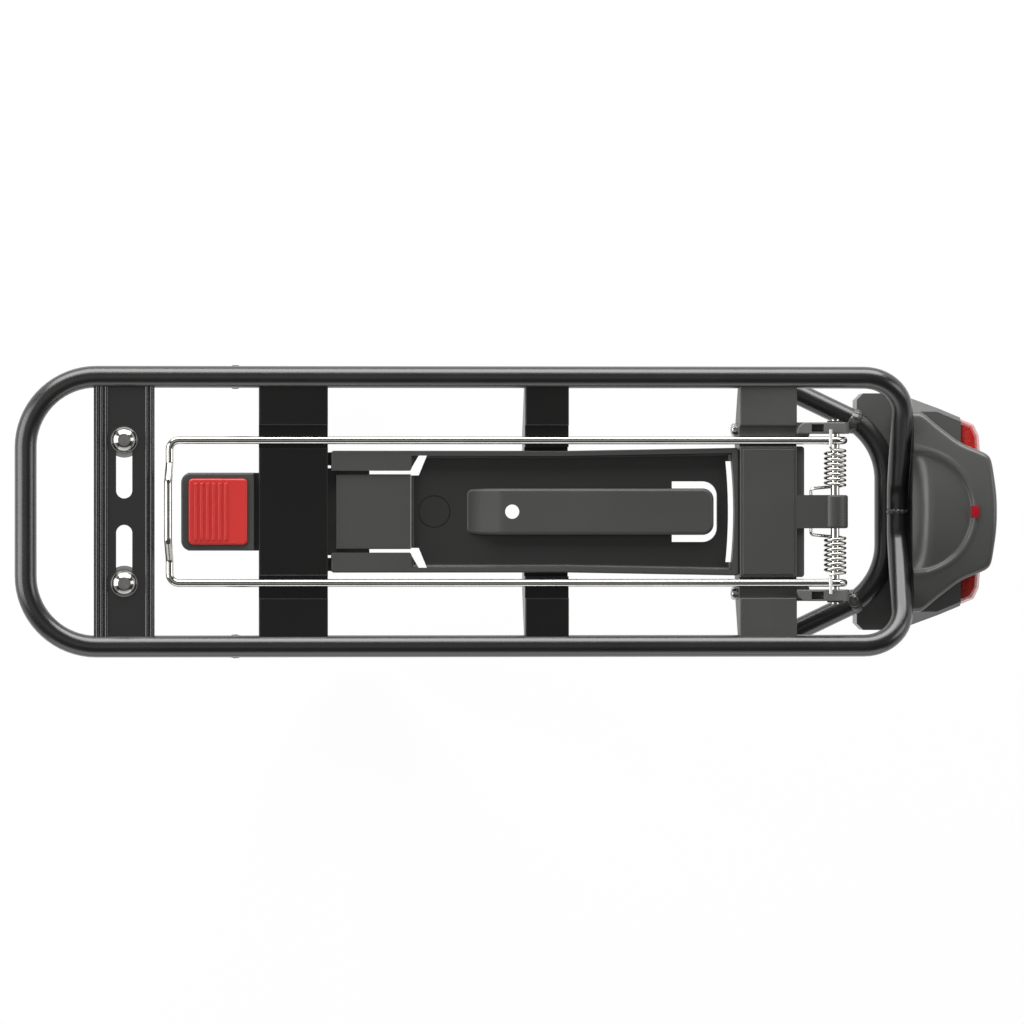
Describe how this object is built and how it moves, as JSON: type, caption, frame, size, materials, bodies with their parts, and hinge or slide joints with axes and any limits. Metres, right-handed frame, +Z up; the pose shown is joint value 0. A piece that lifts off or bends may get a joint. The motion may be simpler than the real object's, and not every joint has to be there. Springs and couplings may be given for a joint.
{
  "type": "bicycle rear rack",
  "caption": "Bicycle rear rack of bent rod with V legs, bag adapter tray with push-button release, sprung wire clamp and rear light.",
  "frame": {"origin": "middle of the axis through the two axle eyelets", "axes": "+X towards the rear of the bicycle, +Y towards the rider's right, +Z up"},
  "size_m": [0.4483, 0.1464, 0.3633],
  "materials": {
    "black_frame": "satin black powder coat on aluminium rod",
    "black_plates": "satin black anodised aluminium",
    "bright_steel": "bright stainless steel",
    "spring_steel": "polished spring wire",
    "black_plastic": "fine moulded texture",
    "red_plastic": "moulded red",
    "light_plastic": "moulded dark grey",
    "red_lens": "clear red",
    "board_green": "solder resist",
    "led_red": "lamp package",
    "reflector_silver": "metallised plastic",
    "black_rubber": "plain"
  },
  "bodies": {
    "rack": {"adapter_tray": "black_plastic", "bail_shaft": "spring_steel", "button_plate": "black_plates", "clamp_saddle": "black_plastic", "ear_screws": "bright_steel", "front_plate": "black_plates", "left_axle_eyelet": "black_frame", "left_front_leg": "black_frame", "left_hinge_ear": "black_plates", "left_rear_leg": "black_frame", "left_torsion_spring": "spring_steel", "light_bracket": "black_plates", "light_cable_grommet": "black_rubber", "light_circuit_board": "board_green", "light_hood": "light_plastic", "light_housing": "light_plastic", "light_leds": "led_red", "light_lens": "red_lens", "light_reflector": "reflector_silver", "light_screws": "bright_steel", "light_sensor_window": "red_lens", "middle_plate": "black_plates", "rear_loop_rod": "black_frame", "rear_plate": "black_plates", "right_axle_eyelet": "black_frame", "right_front_leg": "black_frame", "right_hinge_ear": "black_plates", "right_rear_leg": "black_frame", "right_torsion_spring": "spring_steel", "saddle_screws": "bright_steel", "shaft_clips": "spring_steel", "top_frame_rod": "black_frame", "tray_front_screws": "bright_steel", "tray_middle_screws": "bright_steel", "weld_beads": "black_frame"},
    "bail": {"spring_bail": "spring_steel"},
    "lever": {"release_lever": "black_plastic", "release_button": "red_plastic"},
    "right_stay_bolt": {"right_stay_screw": "bright_steel", "right_stay_washer": "bright_steel", "right_stay_nut": "bright_steel"},
    "left_stay_bolt": {"left_stay_screw": "bright_steel", "left_stay_washer": "bright_steel", "left_stay_nut": "bright_steel"}
  },
  "joints": [
    {"name": "bail_hinge", "type": "hinge", "parent": "rack", "child": "bail", "pos_m": [0.2081, 0, 0.34315], "axis": [0, 1, 0], "range_deg": [0, 95], "stiffness_Nm_per_rad": 0.6, "springref_deg": -34.38, "deforming": ["right_torsion_spring", "left_torsion_spring"]},
    {"name": "release_hinge", "type": "hinge", "parent": "rack", "child": "lever", "pos_m": [0.01465, 0, 0.3398], "axis": [0, -1, 0], "range_deg": [0, 4], "stiffness_Nm_per_rad": 25, "springref_deg": -1.15},
    {"name": "right_stay_slide", "type": "slide", "parent": "rack", "child": "right_stay_bolt", "axis": [0, -1, 0], "range_m": [0, 0.0228]},
    {"name": "left_stay_slide", "type": "slide", "parent": "rack", "child": "left_stay_bolt", "axis": [0, 1, 0], "range_m": [0, 0.0228]}
  ]
}
